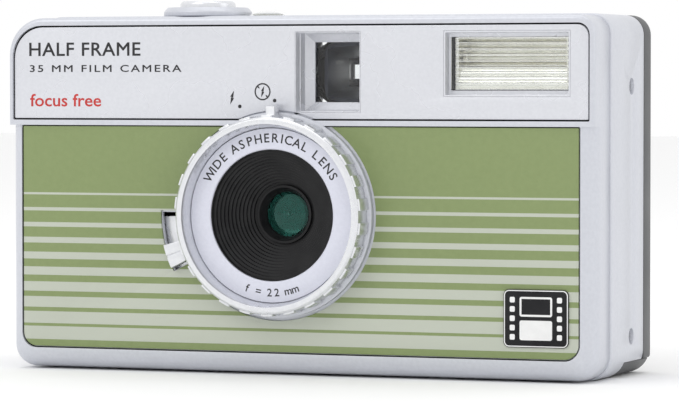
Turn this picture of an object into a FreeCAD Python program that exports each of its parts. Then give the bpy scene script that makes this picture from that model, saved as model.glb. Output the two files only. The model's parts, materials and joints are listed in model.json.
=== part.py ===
import FreeCAD, Part
import math
import os

# Half frame film camera. Everything is drawn in millimetres with X to the camera's left hand
# as it faces you, Y running from the lens to the back door, and Z up. While drawing, y = 0 is
# the face of the front panel. keep() then moves each piece so that the row's origin is the
# mouth of the tripod socket.

V = FreeCAD.Vector
X_AXIS = V(1, 0, 0)
Y_AXIS = V(0, 1, 0)
Z_AXIS = V(0, 0, 1)

# ---- Driving dimensions -------------------------------------------------------------------
HALF_W = 55.0              # body half width
TOP_Z = 62.8               # body height
COVER_Y = -0.3             # front rim of the front cover
SEAM_Y = 8.5               # seam between front cover and middle frame
DOOR_Y = 27.2              # seam between middle frame and back door
BACK_Y = 33.0              # outer face of the back door
WALL = 1.6                 # moulded wall thickness
COVER_INSET = 0.35         # the front cover is this much smaller all round
STEP_Z = 43.5              # step between the lower body and the upper housing
CORNERS = (4.3, 4.3, 3.5, 7.0)   # outline radii: bottom left, bottom right, top right, top left
CHIN_Z = 2.6               # height of the dark base plate
CHIN_Y = 17.0              # where the base plate reaches the body sides

PANEL_T = 0.5              # thickness of both front plates
PANEL_X = 51.84            # coloured panel
PANEL_Z = (4.16, 43.31)
PLATE_X = 53.51            # upper plate
PLATE_Z = (44.71, 60.8)
FIT_GAP = 0.3              # gap round parts let into the cover
DOOR_GAP = 0.35            # gap between the middle frame and the back door

LENS_X = -3.1              # optical axis
LENS_Z = 28.0
FLANGE_R = 17.85           # raised seat behind the flash ring
RING_R = 17.05             # flash ring, without its grip ribs
RIB_R = 17.4
RIB_COUNT = 26
NAME_R = 15.1              # name ring, a flat ring let into the flash ring
NAME_Y = -2.55             # its front face
CONE_R = 11.38             # mouth of the black cone
APERTURE_R = 1.375         # 22 mm at f/8

SLOT_R = (18.0, 22.0)      # slot of the star filter lever
SLOT_DEG = (178.5, 207.5)
LEVER_DEG = (194.8, 206.0)
LEVER_TRAVEL = 14.0
FILTER_RATIO = 4.0

FINDER = (0.34, 12.43, 45.8, 59.81)     # x0, x1, z0, z1 of the finder window
FLASH = (27.67, 50.28, 48.57, 59.81)    # the same for the flash window

TRIPOD_Y = 14.3            # tripod socket, and the row's origin
TRIPOD_R = 2.55
BUTTON = (-22.9, 16.0)     # shutter button, x and y
COUNTER = (-11.3, 16.0)    # frame counter
CASSETTE = (39.2, 18.9)    # film cassette axis
SPOOL = (-40.0, 21.0)      # take-up spool and advance wheel axis
IDLER = (-30.5, 21.0)
SPROCKET = (-21.0, 21.0)
BATTERY = (18.8, 15.0)
CRANK_PIVOT = (CASSETTE[0] - 4.4, 0.65)   # fold-out crank, x and z
HINGE = (-53.1, 29.3)      # back door pin
FILTER_PIVOT_R = 10.5      # star filter pivot, from the optical axis at 225 degrees
BLADE_PIVOT_R = 8.06       # shutter blade pivot, from the optical axis at 150 degrees
GATE_W = 18.0              # half frame picture
GATE_H = 24.0


# ---- Small helpers ------------------------------------------------------------------------
def box(x0, x1, y0, y1, z0, z1):
    return Part.makeBox(x1 - x0, y1 - y0, z1 - z0, V(x0, y0, z0))


def upright(centre, r, z0, z1):
    """Cylinder along Z on an (x, y) centre."""
    return Part.makeCylinder(r, z1 - z0, V(centre[0], centre[1], z0), Z_AXIS)


def level(x, z, r, y0, y1):
    """Cylinder along Y."""
    return Part.makeCylinder(r, y1 - y0, V(x, y0, z), Y_AXIS)


def on_lens(r, degrees):
    """Point at a radius and clock angle round the optical axis, as (x, z)."""
    a = math.radians(degrees)
    return LENS_X + r * math.cos(a), LENS_Z + r * math.sin(a)


def spun(points, centre=(LENS_X, LENS_Z)):
    """Solid of revolution about Y; points are (radius, y)."""
    corners = [V(centre[0] + r, y, centre[1]) for r, y in points]
    face = Part.Face(Part.makePolygon(corners + corners[:1]))
    return face.revolve(V(centre[0], 0, centre[1]), Y_AXIS, 360)


def turned(points, centre):
    """Solid of revolution about Z; points are (radius, z)."""
    corners = [V(centre[0] + r, centre[1], z) for r, z in points]
    face = Part.Face(Part.makePolygon(corners + corners[:1]))
    return face.revolve(V(centre[0], centre[1], 0), Z_AXIS, 360)


def rounded(x0, x1, z0, z1, y0, y1, radii):
    """Plate in XZ with its own radius at each corner, extruded along Y."""
    corners = [(x0, z0, 1, 1), (x1, z0, -1, 1), (x1, z1, -1, -1), (x0, z1, 1, -1)]
    edges = []
    ends = []
    for (cx, cz, sx, sz), r, start in zip(corners, radii, (180, 270, 0, 90)):
        centre = V(cx + sx * r, y0, cz + sz * r)
        pts = []
        for deg in (start, start + 45, start + 90):
            a = math.radians(deg)
            pts.append(centre + V(r * math.cos(a), 0, r * math.sin(a)))
        ends.append(pts)
    for i, pts in enumerate(ends):
        following = ends[(i + 1) % 4]
        edges.append(Part.Arc(*pts).toShape())
        edges.append(Part.makeLine(pts[2], following[0]))
    return Part.Face(Part.Wire(edges)).extrude(V(0, y1 - y0, 0))


def shrunk(inset, y0, y1, z0=0.0, z1=TOP_Z, base=CORNERS):
    """Body outline moved inwards by inset."""
    radii = [max(r - inset, 0.3) for r in base]
    return rounded(-HALF_W + inset, HALF_W - inset, z0 + inset, z1 - inset, y0, y1, radii)


def sector(r0, r1, deg0, deg1, y0, y1):
    """Part of a ring round the optical axis, between two clock angles."""
    ring = level(LENS_X, LENS_Z, r1, y0, y1).cut(level(LENS_X, LENS_Z, r0, y0 - 1, y1 + 1))
    reach = 3 * r1
    spread = [deg0 + (deg1 - deg0) * i / 4 for i in range(5)]
    fan = [V(LENS_X, y0 - 1, LENS_Z)]
    for deg in spread:
        a = math.radians(deg)
        fan.append(V(LENS_X + reach * math.cos(a), y0 - 1, LENS_Z + reach * math.sin(a)))
    wedge = Part.Face(Part.makePolygon(fan + fan[:1])).extrude(V(0, y1 - y0 + 2, 0))
    return ring.common(wedge)


def prism(points, x0, x1):
    """Extrusion along X; points are (y, z)."""
    corners = [V(x0, y, z) for y, z in points]
    return Part.Face(Part.makePolygon(corners + corners[:1])).extrude(V(x1 - x0, 0, 0))


def tapered(rect0, y0, rect1, y1):
    """Solid between two upright rectangles, each (x0, x1, z0, z1)."""
    wires = []
    for (x0, x1, z0, z1), y in ((rect0, y0), (rect1, y1)):
        corners = [V(x0, y, z0), V(x1, y, z0), V(x1, y, z1), V(x0, y, z1)]
        wires.append(Part.makePolygon(corners + corners[:1]))
    return Part.makeLoft(wires, True, True)


def grown(rect, by):
    x0, x1, z0, z1 = rect
    return x0 - by, x1 + by, z0 - by, z1 + by


def block(rect, y0, y1, by=0.0):
    x0, x1, z0, z1 = grown(rect, by)
    return box(x0, x1, y0, y1, z0, z1)


def fused(first, *others):
    return first.multiFuse(list(others)).removeSplitter()


def less(first, *others):
    return first.cut(list(others)).removeSplitter()


def soften(shape, radius, wanted):
    """Fillet the edges that the test function picks by their middle point."""
    edges = []
    for edge in shape.Edges:
        middle = edge.valueAt((edge.FirstParameter + edge.LastParameter) / 2)
        if wanted(middle):
            edges.append(edge)
    return shape.makeFillet(radius, edges)


def at_y(value, extra=lambda p: True):
    return lambda p: abs(p.y - value) < 1e-4 and extra(p)


def gear(centre, pitch_r, teeth, z0, z1, bore, turn=0.0):
    """Straight-toothed gear with shallow teeth, so it runs with backlash."""
    module = 2 * pitch_r / teeth
    root = pitch_r - 1.1 * module
    shape = upright(centre, root, z0, z1)
    half = module * math.pi * 0.19
    tip = half * 0.55
    outer = pitch_r + 0.7 * module
    tooth_face = [(root - 0.3, -half), (outer, -tip), (outer, tip), (root - 0.3, half)]
    pieces = []
    for i in range(teeth):
        a = math.radians(turn + 360.0 * i / teeth)
        corners = []
        for r, s in tooth_face:
            x = centre[0] + r * math.cos(a) - s * math.sin(a)
            y = centre[1] + r * math.sin(a) + s * math.cos(a)
            corners.append(V(x, y, z0))
        pieces.append(Part.Face(Part.makePolygon(corners + corners[:1])).extrude(V(0, 0, z1 - z0)))
    return less(fused(shape, *pieces), upright(centre, bore, z0 - 1, z1 + 1))


def keep(node, shape):
    """Move the piece into the row frame and write it."""
    placed = shape.copy()
    placed.translate(V(0, -TRIPOD_Y, 0))
    solids = placed.Solids
    if len(solids) == 1:
        placed = solids[0]
    placed.exportStep("parts/" + node + ".step")
    b = placed.BoundBox
    print("%-22s solids %d  volume %9.2f  z %.2f..%.2f" % (node, len(solids), placed.Volume, b.ZMin, b.ZMax))


# ---- Outer casing -------------------------------------------------------------------------
def front_cover():
    rear = SEAM_Y
    lower = shrunk(COVER_INSET, COVER_Y, rear).common(box(-60, 60, -5, 20, -1, STEP_Z))
    lower = soften(lower, 3.8, at_y(COVER_Y, lambda p: p.z < STEP_Z - 0.01))
    upper = shrunk(COVER_INSET, COVER_Y, rear).common(box(-60, 60, -5, 20, STEP_Z, 70))
    upper = soften(upper, 0.8, at_y(COVER_Y, lambda p: p.z > STEP_Z + 0.01))
    seat = level(LENS_X, LENS_Z, FLANGE_R, -0.6, 1.3)
    hub = level(LENS_X, LENS_Z, 13.32, -1.75, 1.3)
    shell = less(fused(lower, upper), shrunk(COVER_INSET + WALL, 1.3, rear + 1))
    shell = fused(shell, seat, hub)
    recess_top = rounded(-PLATE_X - FIT_GAP, PLATE_X + FIT_GAP, PLATE_Z[0] - FIT_GAP,
                         PLATE_Z[1] + FIT_GAP, -3, PANEL_T, (0.3, 0.3, 2.1, 5.6))
    recess_low = rounded(-PANEL_X - FIT_GAP, PANEL_X + FIT_GAP, PANEL_Z[0] - FIT_GAP,
                         STEP_Z, -3, PANEL_T, (2.8, 2.8, 0.3, 0.3))
    keep_seat = level(LENS_X, LENS_Z, FLANGE_R, -4, 2)
    recess_top = recess_top.cut(keep_seat)
    recess_low = recess_low.cut(keep_seat)
    rail = sector(18.3, 21.9, LEVER_DEG[0] - LEVER_TRAVEL - 1.6, LEVER_DEG[1] + 1.2, -1, 2)
    shell = less(shell, recess_top, recess_low, rail,
                 level(LENS_X, LENS_Z, 12.45, -5, 5),
                 block(FINDER, -1, 2, 0.3), block(FLASH, -1, 2, 0.3))
    bosses = []
    for deg in (20, 100, 310):
        x, z = on_lens(15.0, deg)
        bosses.append(level(x, z, 0.95, 1.3, 2.48))
    keep("front_cover", fused(shell, *bosses))


def upper_plate():
    plate = rounded(-PLATE_X, PLATE_X, PLATE_Z[0], PLATE_Z[1], 0, PANEL_T, (0.2, 0.2, 2.0, 5.5))
    plate = less(plate, level(LENS_X, LENS_Z, FLANGE_R + FIT_GAP, -1, 2),
                 block(FINDER, -1, 2, 0.02), block(FLASH, -1, 2, 0.02))
    keep("upper_plate", plate)


def front_panel():
    panel = rounded(-PANEL_X, PANEL_X, PANEL_Z[0], PANEL_Z[1], 0, PANEL_T, (2.5, 2.5, 0.2, 0.2))
    slot = sector(FLANGE_R - 1, SLOT_R[1], SLOT_DEG[0], SLOT_DEG[1], -1, 2)
    keep("front_panel", less(panel, level(LENS_X, LENS_Z, 18.4, -1, 2), slot))


def badge():
    keep("badge", rounded(38.6, 50.2, 6.1, 15.95, -0.35, 0, (1.0, 1.0, 1.0, 1.0)))


def mid_frame():
    outer = shrunk(0, SEAM_Y, DOOR_Y)
    outer = soften(outer, 0.33, at_y(SEAM_Y))
    frame = less(outer, shrunk(WALL, SEAM_Y - 1, DOOR_Y + 1))
    screws = []
    for z in (7.05, 50.35):
        for x in (-56, 54.0):
            screws.append(Part.makeCylinder(1.45, 2.0, V(x, 20.1, z), X_AXIS))
            screws.append(Part.makeCylinder(0.8, 6, V(math.copysign(52, x) - 3, 20.1, z), X_AXIS))
    frame = less(frame, box(-52.1, 52.1, 9.4, 30, -1, CHIN_Z + 0.1),
                 box(-60, 60, CHIN_Y - 0.1, 30, -1, CHIN_Z + 0.1),
                 upright(BUTTON, 5.75, 55, 70), upright(COUNTER, 4.25, 55, 70),
                 upright(HINGE, 2.9, -1, 70), *screws)
    ears = []
    for z0, z1 in ((3.5, 7.6), (54.4, 57.2)):
        ears.append(upright(HINGE, 1.85, z0, z1))
        ears.append(box(HINGE[0] - 0.5, HINGE[0] + 0.5, 25.6, 28.0, z0, z1))
    frame = fused(frame, *ears)
    keep("mid_frame", less(frame, upright(HINGE, 0.76, 2, 60)))


def base_plate():
    back = shrunk(0, CHIN_Y, BACK_Y)
    back = soften(back, 2.2, at_y(BACK_Y)).common(box(-60, 60, 0, 40, -1, CHIN_Z))
    slab = fused(back, box(-52, 52, 9.5, CHIN_Y + 1, 0, CHIN_Z))
    holes = [upright(CASSETTE, 8.7, -1, 2.0), upright(CASSETTE, 2.15, -1, 4),
             upright((0, TRIPOD_Y), 4.9, -1, 4), upright(SPROCKET, 2.3, -1, 4),
             box(12.9, 24.7, 10.0, 31.2, -1, 1.35), box(13.6, 24.0, 10.0, 20.0, -1, 4)]
    for x, y in BASE_SCREWS:
        holes.append(upright((x, y), 1.75, -1, 1.2))
        holes.append(upright((x, y), 0.8, -1, 4))
    keep("base_plate", less(slab, *holes))


BASE_SCREWS = ((-46.0, 13.0), (-46.0, 29.5), (46.5, 30.0), (29.0, 12.0))


def base_screws():
    pieces = []
    for x, y in BASE_SCREWS:
        head = upright((x, y), 1.7, 0.1, 1.2)
        shank = upright((x, y), 0.78, 1.2, 2.55)
        cross = fused(box(x - 1.1, x + 1.1, y - 0.22, y + 0.22, 0, 0.6),
                      box(x - 0.22, x + 0.22, y - 1.1, y + 1.1, 0, 0.6))
        pieces.append(less(fused(head, shank), cross))
    return pieces


def side_screws():
    pieces = []
    for side in (-1, 1):
        for z in (7.05, 50.35):
            head = Part.makeCylinder(1.4, 0.35, V(side * 54.4, 20.1, z), V(-side, 0, 0))
            shank = Part.makeCylinder(0.78, 0.8, V(side * 54.05, 20.1, z), V(-side, 0, 0))
            cross = fused(box(side * 54.4 - 0.2, side * 54.4 + 0.2, 19.2, 21.0, z - 0.2, z + 0.2),
                          box(side * 54.4 - 0.2, side * 54.4 + 0.2, 19.9, 20.3, z - 0.9, z + 0.9))
            pieces.append(less(fused(head, shank), cross))
    return pieces


def case_screws():
    keep("case_screws", Part.makeCompound(base_screws() + side_screws()))


def strap_lug():
    lug = rounded(-58.0, -55.0, 45.0, 54.0, 12.6, 15.4, (1.4, 0.01, 0.01, 1.4))
    eye = rounded(-57.0, -55.4, 46.2, 52.8, 12, 16, (0.6, 0.3, 0.3, 0.6))
    keep("strap_lug", less(lug, eye))


def tripod_nut():
    c = (0, TRIPOD_Y)
    nut = fused(upright(c, 4.8, 0, 6.4), upright(c, 6.6, 2.7, 3.7))
    keep("tripod_nut", less(nut, upright(c, TRIPOD_R, -1, 5.6)))


# ---- Back door ----------------------------------------------------------------------------
def back_door():
    corners = (0.4, 0.4, CORNERS[2], CORNERS[3])
    z0 = CHIN_Z + 0.1
    door = rounded(-HALF_W, HALF_W, z0, TOP_Z, DOOR_Y + DOOR_GAP, BACK_Y, corners)
    door = soften(door, 1.7, at_y(BACK_Y, lambda p: p.z > z0 + 0.01))
    inner = rounded(-HALF_W + WALL, HALF_W - WALL, z0 + WALL, TOP_Z - WALL, 26, BACK_Y - 1.5,
                    (0.4, 0.4, 2.0, 5.4))
    door = less(door, inner, box(-60, HINGE[0], 20, HINGE[1], 0, 70))
    door = fused(door, upright(HINGE, 1.85, 8.0, 54.0))
    cuts = [upright(HINGE, 2.15, 0, 7.95), upright(HINGE, 2.15, 54.05, 57.6),
            upright(HINGE, 0.81, 0, 60),
            box(-48.2, -31.8, 31, 35, 52.6, 57.8),
            block(EYEPIECE, 30, 35, 0.05),
            box(49.0, 51.0, 30, 35, 27.0, 41.2)]
    grips = [box(46.0 + 0.9 * i, 46.35 + 0.9 * i, BACK_Y - 0.3, BACK_Y + 1, 8, 22) for i in range(7)]
    keep("back_door", less(door, *cuts, *grips))


EYEPIECE = (2.2, 10.8, 49.2, 57.0)


def eyepiece_bezel():
    rim = fused(block(EYEPIECE, 31.0, 33.5), block(EYEPIECE, BACK_Y, 33.5, 0.7))
    rim = soften(rim, 0.3, at_y(33.5))
    keep("eyepiece_bezel", less(rim, block(EYEPIECE, 30, 35, -1.0)))


def hinge_pin():
    keep("hinge_pin", upright(HINGE, 0.75, 3.2, 57.4))


def door_latch():
    bar = box(50.05, 52.4, 30.2, 31.3, 24.0, 44.0)
    knob = box(48.0, 52.0, BACK_Y + 0.05, BACK_Y + 0.75, 30.0, 38.0)
    knob = soften(knob, 0.25, at_y(BACK_Y + 0.75))
    grooves = [box(47, 53, BACK_Y + 0.45, BACK_Y + 1, 31.2 + 1.2 * i, 31.7 + 1.2 * i) for i in range(5)]
    stem = box(49.1, 50.9, 30.2, BACK_Y + 0.1, 30.2, 37.8)
    keep("door_latch", less(fused(bar, knob, stem), *grooves))


def door_light_seal():
    outer = rounded(-50.8, 53.2, 4.5, 61.0, 30.6, 31.45, (0.4, 0.4, 1.8, 5.0))
    inner = rounded(-49.8, 52.6, 5.5, 60.2, 30, 32, (0.4, 0.4, 1.4, 4.4))
    keep("door_light_seal", less(outer, inner))


def pressure_plate():
    plate = rounded(-13.6, 16.0, 10.6, 45.4, 27.85, 28.65, (1.0, 1.0, 1.0, 1.0))
    lips = [prism([(28.2, z0), (28.65, z0), (29.2, z1), (28.7, z1)], -12, 14)
            for z0, z1 in ((10.7, 10.0), (45.3, 46.0))]
    keep("pressure_plate", fused(plate, *lips))


def pressure_plate_spring():
    pieces = []
    for z in (17.0, 33.0):
        outline = [(-9, 31.45), (-6, 31.45), (0.2, 29.0), (2.2, 29.0), (8.4, 31.45), (11.4, 31.45),
                   (11.4, 31.2), (8.5, 31.2), (2.3, 28.7), (0.1, 28.7), (-6.1, 31.2), (-9, 31.2)]
        corners = [V(x, y, z) for x, y in outline]
        pieces.append(Part.Face(Part.makePolygon(corners + corners[:1])).extrude(V(0, 0, 6)))
    keep("pressure_plate_spring", Part.makeCompound(pieces))


# ---- Film path ----------------------------------------------------------------------------
def film_gate():
    plate = box(-13.8, 25.2, 26.2, 27.3, 6.0, 46.5)
    rails = [box(-13.8, 25.2, 27.3, 27.6, z, z + 0.9) for z in (9.4, 14.2, 40.9, 45.6)]
    window = box(LENS_X - GATE_W / 2, LENS_X + GATE_W / 2, 26, 28, LENS_Z - GATE_H / 2, LENS_Z + GATE_H / 2)
    keep("film_gate", less(fused(plate, *rails), window))


def light_tunnel():
    front = (LENS_X - 5.0, LENS_X + 5.0, LENS_Z - 6.0, LENS_Z + 6.0)
    rear = (LENS_X - 9.4, LENS_X + 9.4, LENS_Z - 12.4, LENS_Z + 12.4)
    outer = tapered(grown(front, 1.0), 12.2, grown(rear, 1.0), 26.1)
    inner = tapered(front, 12.1, rear, 26.2)
    keep("light_tunnel", less(outer, inner))


def film_chamber(node, centre, r, z0, z1, roof_hole, floor_hole):
    wall = 0.8
    body = upright(centre, r + wall, z0, z1)
    body = less(body, upright(centre, r, z0 + 1.0, z1 - 0.8),
                upright(centre, floor_hole, z0 - 1, z0 + 2),
                box(centre[0] - 20, centre[0] + 20, 27.0, 40, z0 - 1, z1 + 1))
    if roof_hole:
        body = less(body, upright(centre, roof_hole, z1 - 2, z1 + 1))
    keep(node, body)


def take_up_spool():
    c = SPOOL
    spool = fused(upright(c, 6.5, 4.4, 46.8), upright(c, 9.4, 4.4, 5.6), upright(c, 9.4, 45.6, 46.8),
                  upright(c, 1.8, 46.0, 53.0), upright(c, 1.2, 3.1, 4.5))
    slots = [box(c[0] + 4.6, c[0] + 8, c[1] - 0.6, c[1] + 0.6, 10, 41),
             box(c[0] - 8, c[0] - 4.6, c[1] - 0.6, c[1] + 0.6, 10, 41)]
    keep("take_up_spool", less(spool, *slots))


def advance_wheel():
    c = SPOOL
    wheel = turned([(1.9, 53.3), (12.5, 53.3), (12.8, 53.6), (12.8, 56.9), (12.5, 57.2), (1.9, 57.2)], c)
    teeth = 60
    grooves = []
    for i in range(teeth):
        a = 2 * math.pi * i / teeth
        grooves.append(upright((c[0] + 12.95 * math.cos(a), c[1] + 12.95 * math.sin(a)), 0.35, 53, 58))
    keep("advance_wheel", less(wheel, *grooves))


def gears():
    hub = less(upright(SPOOL, 3.4, 50.8, 53.3), upright(SPOOL, 1.9, 50, 54))
    keep("advance_gear", fused(gear(SPOOL, 5.5, 22, 49.3, 50.8, 1.9), hub))
    keep("idler_gear", gear(IDLER, 4.0, 16, 49.3, 50.8, 1.0, 360.0 / 32))
    keep("sprocket_gear", gear(SPROCKET, 5.5, 22, 49.3, 50.8, 1.5))


def mechanism_plate():
    plate = box(-52.6, -15.0, 10.4, 26.6, 48.3, 49.1)
    post = upright(IDLER, 0.92, 49.0, 51.2)
    keep("mechanism_plate", less(fused(plate, post), upright(SPOOL, 1.9, 48, 50), upright(SPROCKET, 1.6, 48, 50)))


def sprocket_shaft():
    c = SPROCKET
    pieces = [upright(c, 3.6, 9.2, 46.8), upright(c, 1.5, 46.0, 50.9), upright(c, 1.2, 4.3, 9.4)]
    for row in (13.8, 42.2):
        pieces.append(upright(c, 6.2, row - 1.3, row + 1.3))
        for i in range(8):
            a = math.radians(45 * i + 22.5)
            place = V(c[0] + 5.7 * math.cos(a), c[1] + 5.7 * math.sin(a), row)
            pieces.append(Part.makeCone(0.95, 0.35, 1.3, place, V(math.cos(a), math.sin(a), 0)))
    keep("sprocket_shaft", fused(*pieces))


def rewind_release_button():
    button = fused(upright(SPROCKET, 2.2, 0.4, 3.0), upright(SPROCKET, 3.0, 2.75, 3.4))
    keep("rewind_release_button", button)


def rewind_spindle():
    c = CASSETTE
    disc = less(upright(c, 8.3, 0.35, 1.75), box(c[0] - 8.4, c[0] + 8.4, c[1] - 2.2, c[1] + 2.2, 0, 1.35))
    pivot = level(CRANK_PIVOT[0], CRANK_PIVOT[1], 0.22, c[1] - 2.3, c[1] + 2.3)
    shaft = upright(c, 2.05, 1.7, 6.0)
    fork = box(c[0] - 1.9, c[0] + 1.9, c[1] - 0.6, c[1] + 0.6, 5.9, 8.6)
    keep("rewind_spindle", fused(disc, shaft, fork, pivot))


def crank_arm():
    c = CASSETTE
    arm = box(CRANK_PIVOT[0] - 0.5, c[0] + 6.0, c[1] - 1.9, c[1] + 1.9, 0.3, 1.0)
    bore = level(CRANK_PIVOT[0], CRANK_PIVOT[1], 0.27, c[1] - 3, c[1] + 3)
    keep("crank_arm", less(arm, bore, upright((c[0] + 4.2, c[1]), 0.62, -1, 2)))


def crank_knob():
    c = (CASSETTE[0] + 4.2, CASSETTE[1])
    keep("crank_knob", fused(upright(c, 1.6, 0.05, 0.28), upright(c, 0.55, 0.25, 1.05)))


# ---- Top controls -------------------------------------------------------------------------
def button_collar():
    collar = turned([(5.2, 59.6), (5.2, 64.4), (7.2, 64.4), (7.9, 63.6), (7.9, 62.85), (5.7, 62.85),
                     (5.7, 59.0), (2.4, 59.0), (2.4, 59.6)], BUTTON)
    keep("button_collar", collar)


def shutter_button():
    rim = 0.7
    button = upright(BUTTON, 4.95, 61.5, 65.55)
    button = button.makeFillet(rim, [e for e in button.Edges if abs(e.BoundBox.ZMin - 65.55) < 1e-3
                                     and abs(e.BoundBox.ZMax - 65.55) < 1e-3])
    stem = fused(upright(BUTTON, 2.2, 57.0, 61.6), upright(BUTTON, 0.8, 55.0, 57.1))
    button = fused(button, stem)
    button = less(button, upright(BUTTON, 1.6, 61.5, 66))
    keep("shutter_button", button)


def button_spring():
    keep("button_spring", less(upright(BUTTON, 3.3, 59.65, 61.4), upright(BUTTON, 2.6, 59, 62)))


def counter():
    r = 4.05
    rise = 1.3
    ball = (r * r + rise * rise) / (2 * rise)
    dome = Part.makeSphere(ball, V(COUNTER[0], COUNTER[1], 62.5 + rise - ball))
    dome = dome.common(upright(COUNTER, r, 62.5, 70))
    keep("counter_window", fused(dome, upright(COUNTER, r, 61.9, 62.5)))
    disc = fused(upright(COUNTER, 3.7, 60.9, 61.5), upright(COUNTER, 0.8, 57.5, 61.0))
    keep("counter_disc", disc)


def release_lever():
    pivot = (-13.5, 50.5)
    arm = [(-24.2, 54.65), (-21.0, 54.65), (-13.0, 52.3), (-11.7, 50.5), (-12.0, 41.2), (-13.6, 41.2),
           (-14.4, 48.9), (-14.7, 50.4), (-20.8, 53.3), (-24.2, 53.6)]
    corners = [V(x, 14.8, z) for x, z in arm]
    plate = Part.Face(Part.makePolygon(corners + corners[:1])).extrude(V(0, 1.2, 0))
    keep("release_lever", less(fused(plate, level(-12.8, 42.0, 0.45, 9.6, 15.4)), level(pivot[0], pivot[1], 0.8, 10, 20)))


# ---- Lens and shutter ---------------------------------------------------------------------
def flash_ring():
    ring = spun([(RING_R - 0.35, -5.2), (15.85, -5.2), (15.2, NAME_Y), (15.2, -1.65), (13.4, -1.65),
                 (13.4, -0.8), (RING_R, -0.8), (RING_R, -4.85)])
    ribs = []
    for i in range(RIB_COUNT):
        middle = 360.0 * (i + 0.5) / RIB_COUNT
        ribs.append(sector(RING_R - 0.4, RIB_R, middle - 3.4, middle + 3.4, -4.7, -0.9))
    tab = box(LENS_X - 0.8, LENS_X + 0.8, -3.0, -0.95, LENS_Z + 16.4, LENS_Z + 18.9)
    keep("flash_ring", fused(ring, *ribs, tab))


def name_ring():
    ring = spun([(NAME_R, NAME_Y), (11.6, NAME_Y), (11.42, -2.38), (11.42, -1.22), (12.4, -1.22),
                 (12.4, -1.85), (NAME_R, -1.85)])
    keep("name_ring", ring)


def lens_barrel():
    outside = [(11.2, -2.3), (CONE_R, -2.3), (CONE_R, -1.2), (12.3, -1.2), (12.3, 2.5), (15.9, 2.5),
               (15.9, 3.4), (12.3, 3.4), (12.3, 4.4), (7.0, 4.4), (7.0, 7.3), (4.35, 7.3), (4.35, 5.5),
               (5.15, 5.5), (5.15, 3.9)]
    steps = []
    r = 5.7
    y = 3.9
    while r < 11.0:
        steps.append((r, y))
        y -= 0.5
        steps.append((r, y))
        r += 0.5
    barrel = spun(outside + steps + [(11.2, y)])
    gap = sector(13.1, 17.0, 205, 245, 2, 4)
    keep("lens_barrel", less(barrel, gap))


def lens_elements():
    def dish(r, y_front, y_back, bulge_front, bulge_back):
        shape = level(LENS_X, LENS_Z, r, y_front - bulge_front, y_back + bulge_back)
        for face_y, bulge, side in ((y_front, bulge_front, 1), (y_back, bulge_back, -1)):
            ball = (r * r + bulge * bulge) / (2 * bulge)
            centre = V(LENS_X, face_y + side * (ball - bulge), LENS_Z)
            shape = shape.common(Part.makeSphere(ball, centre, Y_AXIS))
        return shape

    keep("front_lens", dish(4.3, 5.9, 6.8, 0.7, 0.35))
    keep("rear_lens", dish(4.2, 10.7, 11.5, 0.25, 0.45))


def lens_retainer():
    keep("lens_retainer", spun([(5.1, 3.4), (5.1, 5.45), (3.9, 5.45), (3.9, 4.9), (4.7, 3.4)]))


def aperture_plate():
    px, pz = on_lens(FILTER_PIVOT_R, 225)
    plate = fused(level(LENS_X, LENS_Z, 10.0, 8.0, 8.35), level(px, pz, 1.7, 8.0, 8.35),
                  level(px, pz, 0.6, 7.2, 8.1))
    keep("aperture_plate", less(plate, level(LENS_X, LENS_Z, APERTURE_R, 7, 9)))


def shutter_housing():
    bx, bz = on_lens(BLADE_PIVOT_R, 150)
    cup = spun([(10.0, 8.36), (10.0, 10.2), (6.2, 10.2), (6.2, 12.0), (4.25, 12.0), (4.25, 10.4), (3.2, 10.4),
                (3.2, 9.4), (9.4, 9.4), (9.4, 8.36)])
    keep("shutter_housing", fused(cup, level(bx, bz, 0.4, 8.45, 9.5)))


def shutter_blade():
    bx, bz = on_lens(BLADE_PIVOT_R, 150)
    disc = level(LENS_X, LENS_Z, 2.6, 8.75, 9.0)
    boss = level(bx, bz, 1.0, 8.75, 9.0)
    nx = -math.sin(math.radians(150)) * 0.7
    nz = math.cos(math.radians(150)) * 0.7
    corners = [V(LENS_X + nx, 8.75, LENS_Z + nz), V(bx + nx, 8.75, bz + nz),
               V(bx - nx, 8.75, bz - nz), V(LENS_X - nx, 8.75, LENS_Z - nz)]
    arm = Part.Face(Part.makePolygon(corners + corners[:1])).extrude(V(0, 0.25, 0))
    keep("shutter_blade", less(fused(disc, boss, arm), level(bx, bz, 0.46, 8, 10)))


def star_filter_lever():
    ring = spun([(12.5, 1.55), (13.7, 1.55), (13.7, 2.2), (12.5, 2.2)])
    arm = sector(13.2, 20.7, LEVER_DEG[0] + 3.6, LEVER_DEG[1] - 3.6, 1.55, 2.2)
    stem = sector(19.4, 20.6, LEVER_DEG[0] + 3.6, LEVER_DEG[1] - 3.6, 0.2, 1.7)
    knob = sector(18.45, 21.6, LEVER_DEG[0], LEVER_DEG[1], -1.5, 0.38)
    middle = (LEVER_DEG[0] + LEVER_DEG[1]) / 2
    knob = less(knob, sector(18.0, 22.0, middle - 0.45, middle + 0.45, -2.0, -1.25))
    shield = sector(17.9, 22.3, LEVER_DEG[0] - LEVER_TRAVEL + 0.5, LEVER_DEG[1] + LEVER_TRAVEL, 1.55, 2.2)
    px, pz = on_lens(13.9, 232)
    ear = sector(13.2, 14.7, 229, 235, 1.55, 2.2)
    pin = level(px, pz, 0.45, 1.8, 7.75)
    keep("star_filter_lever", fused(ring, arm, shield, stem, knob, ear, pin))


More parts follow.
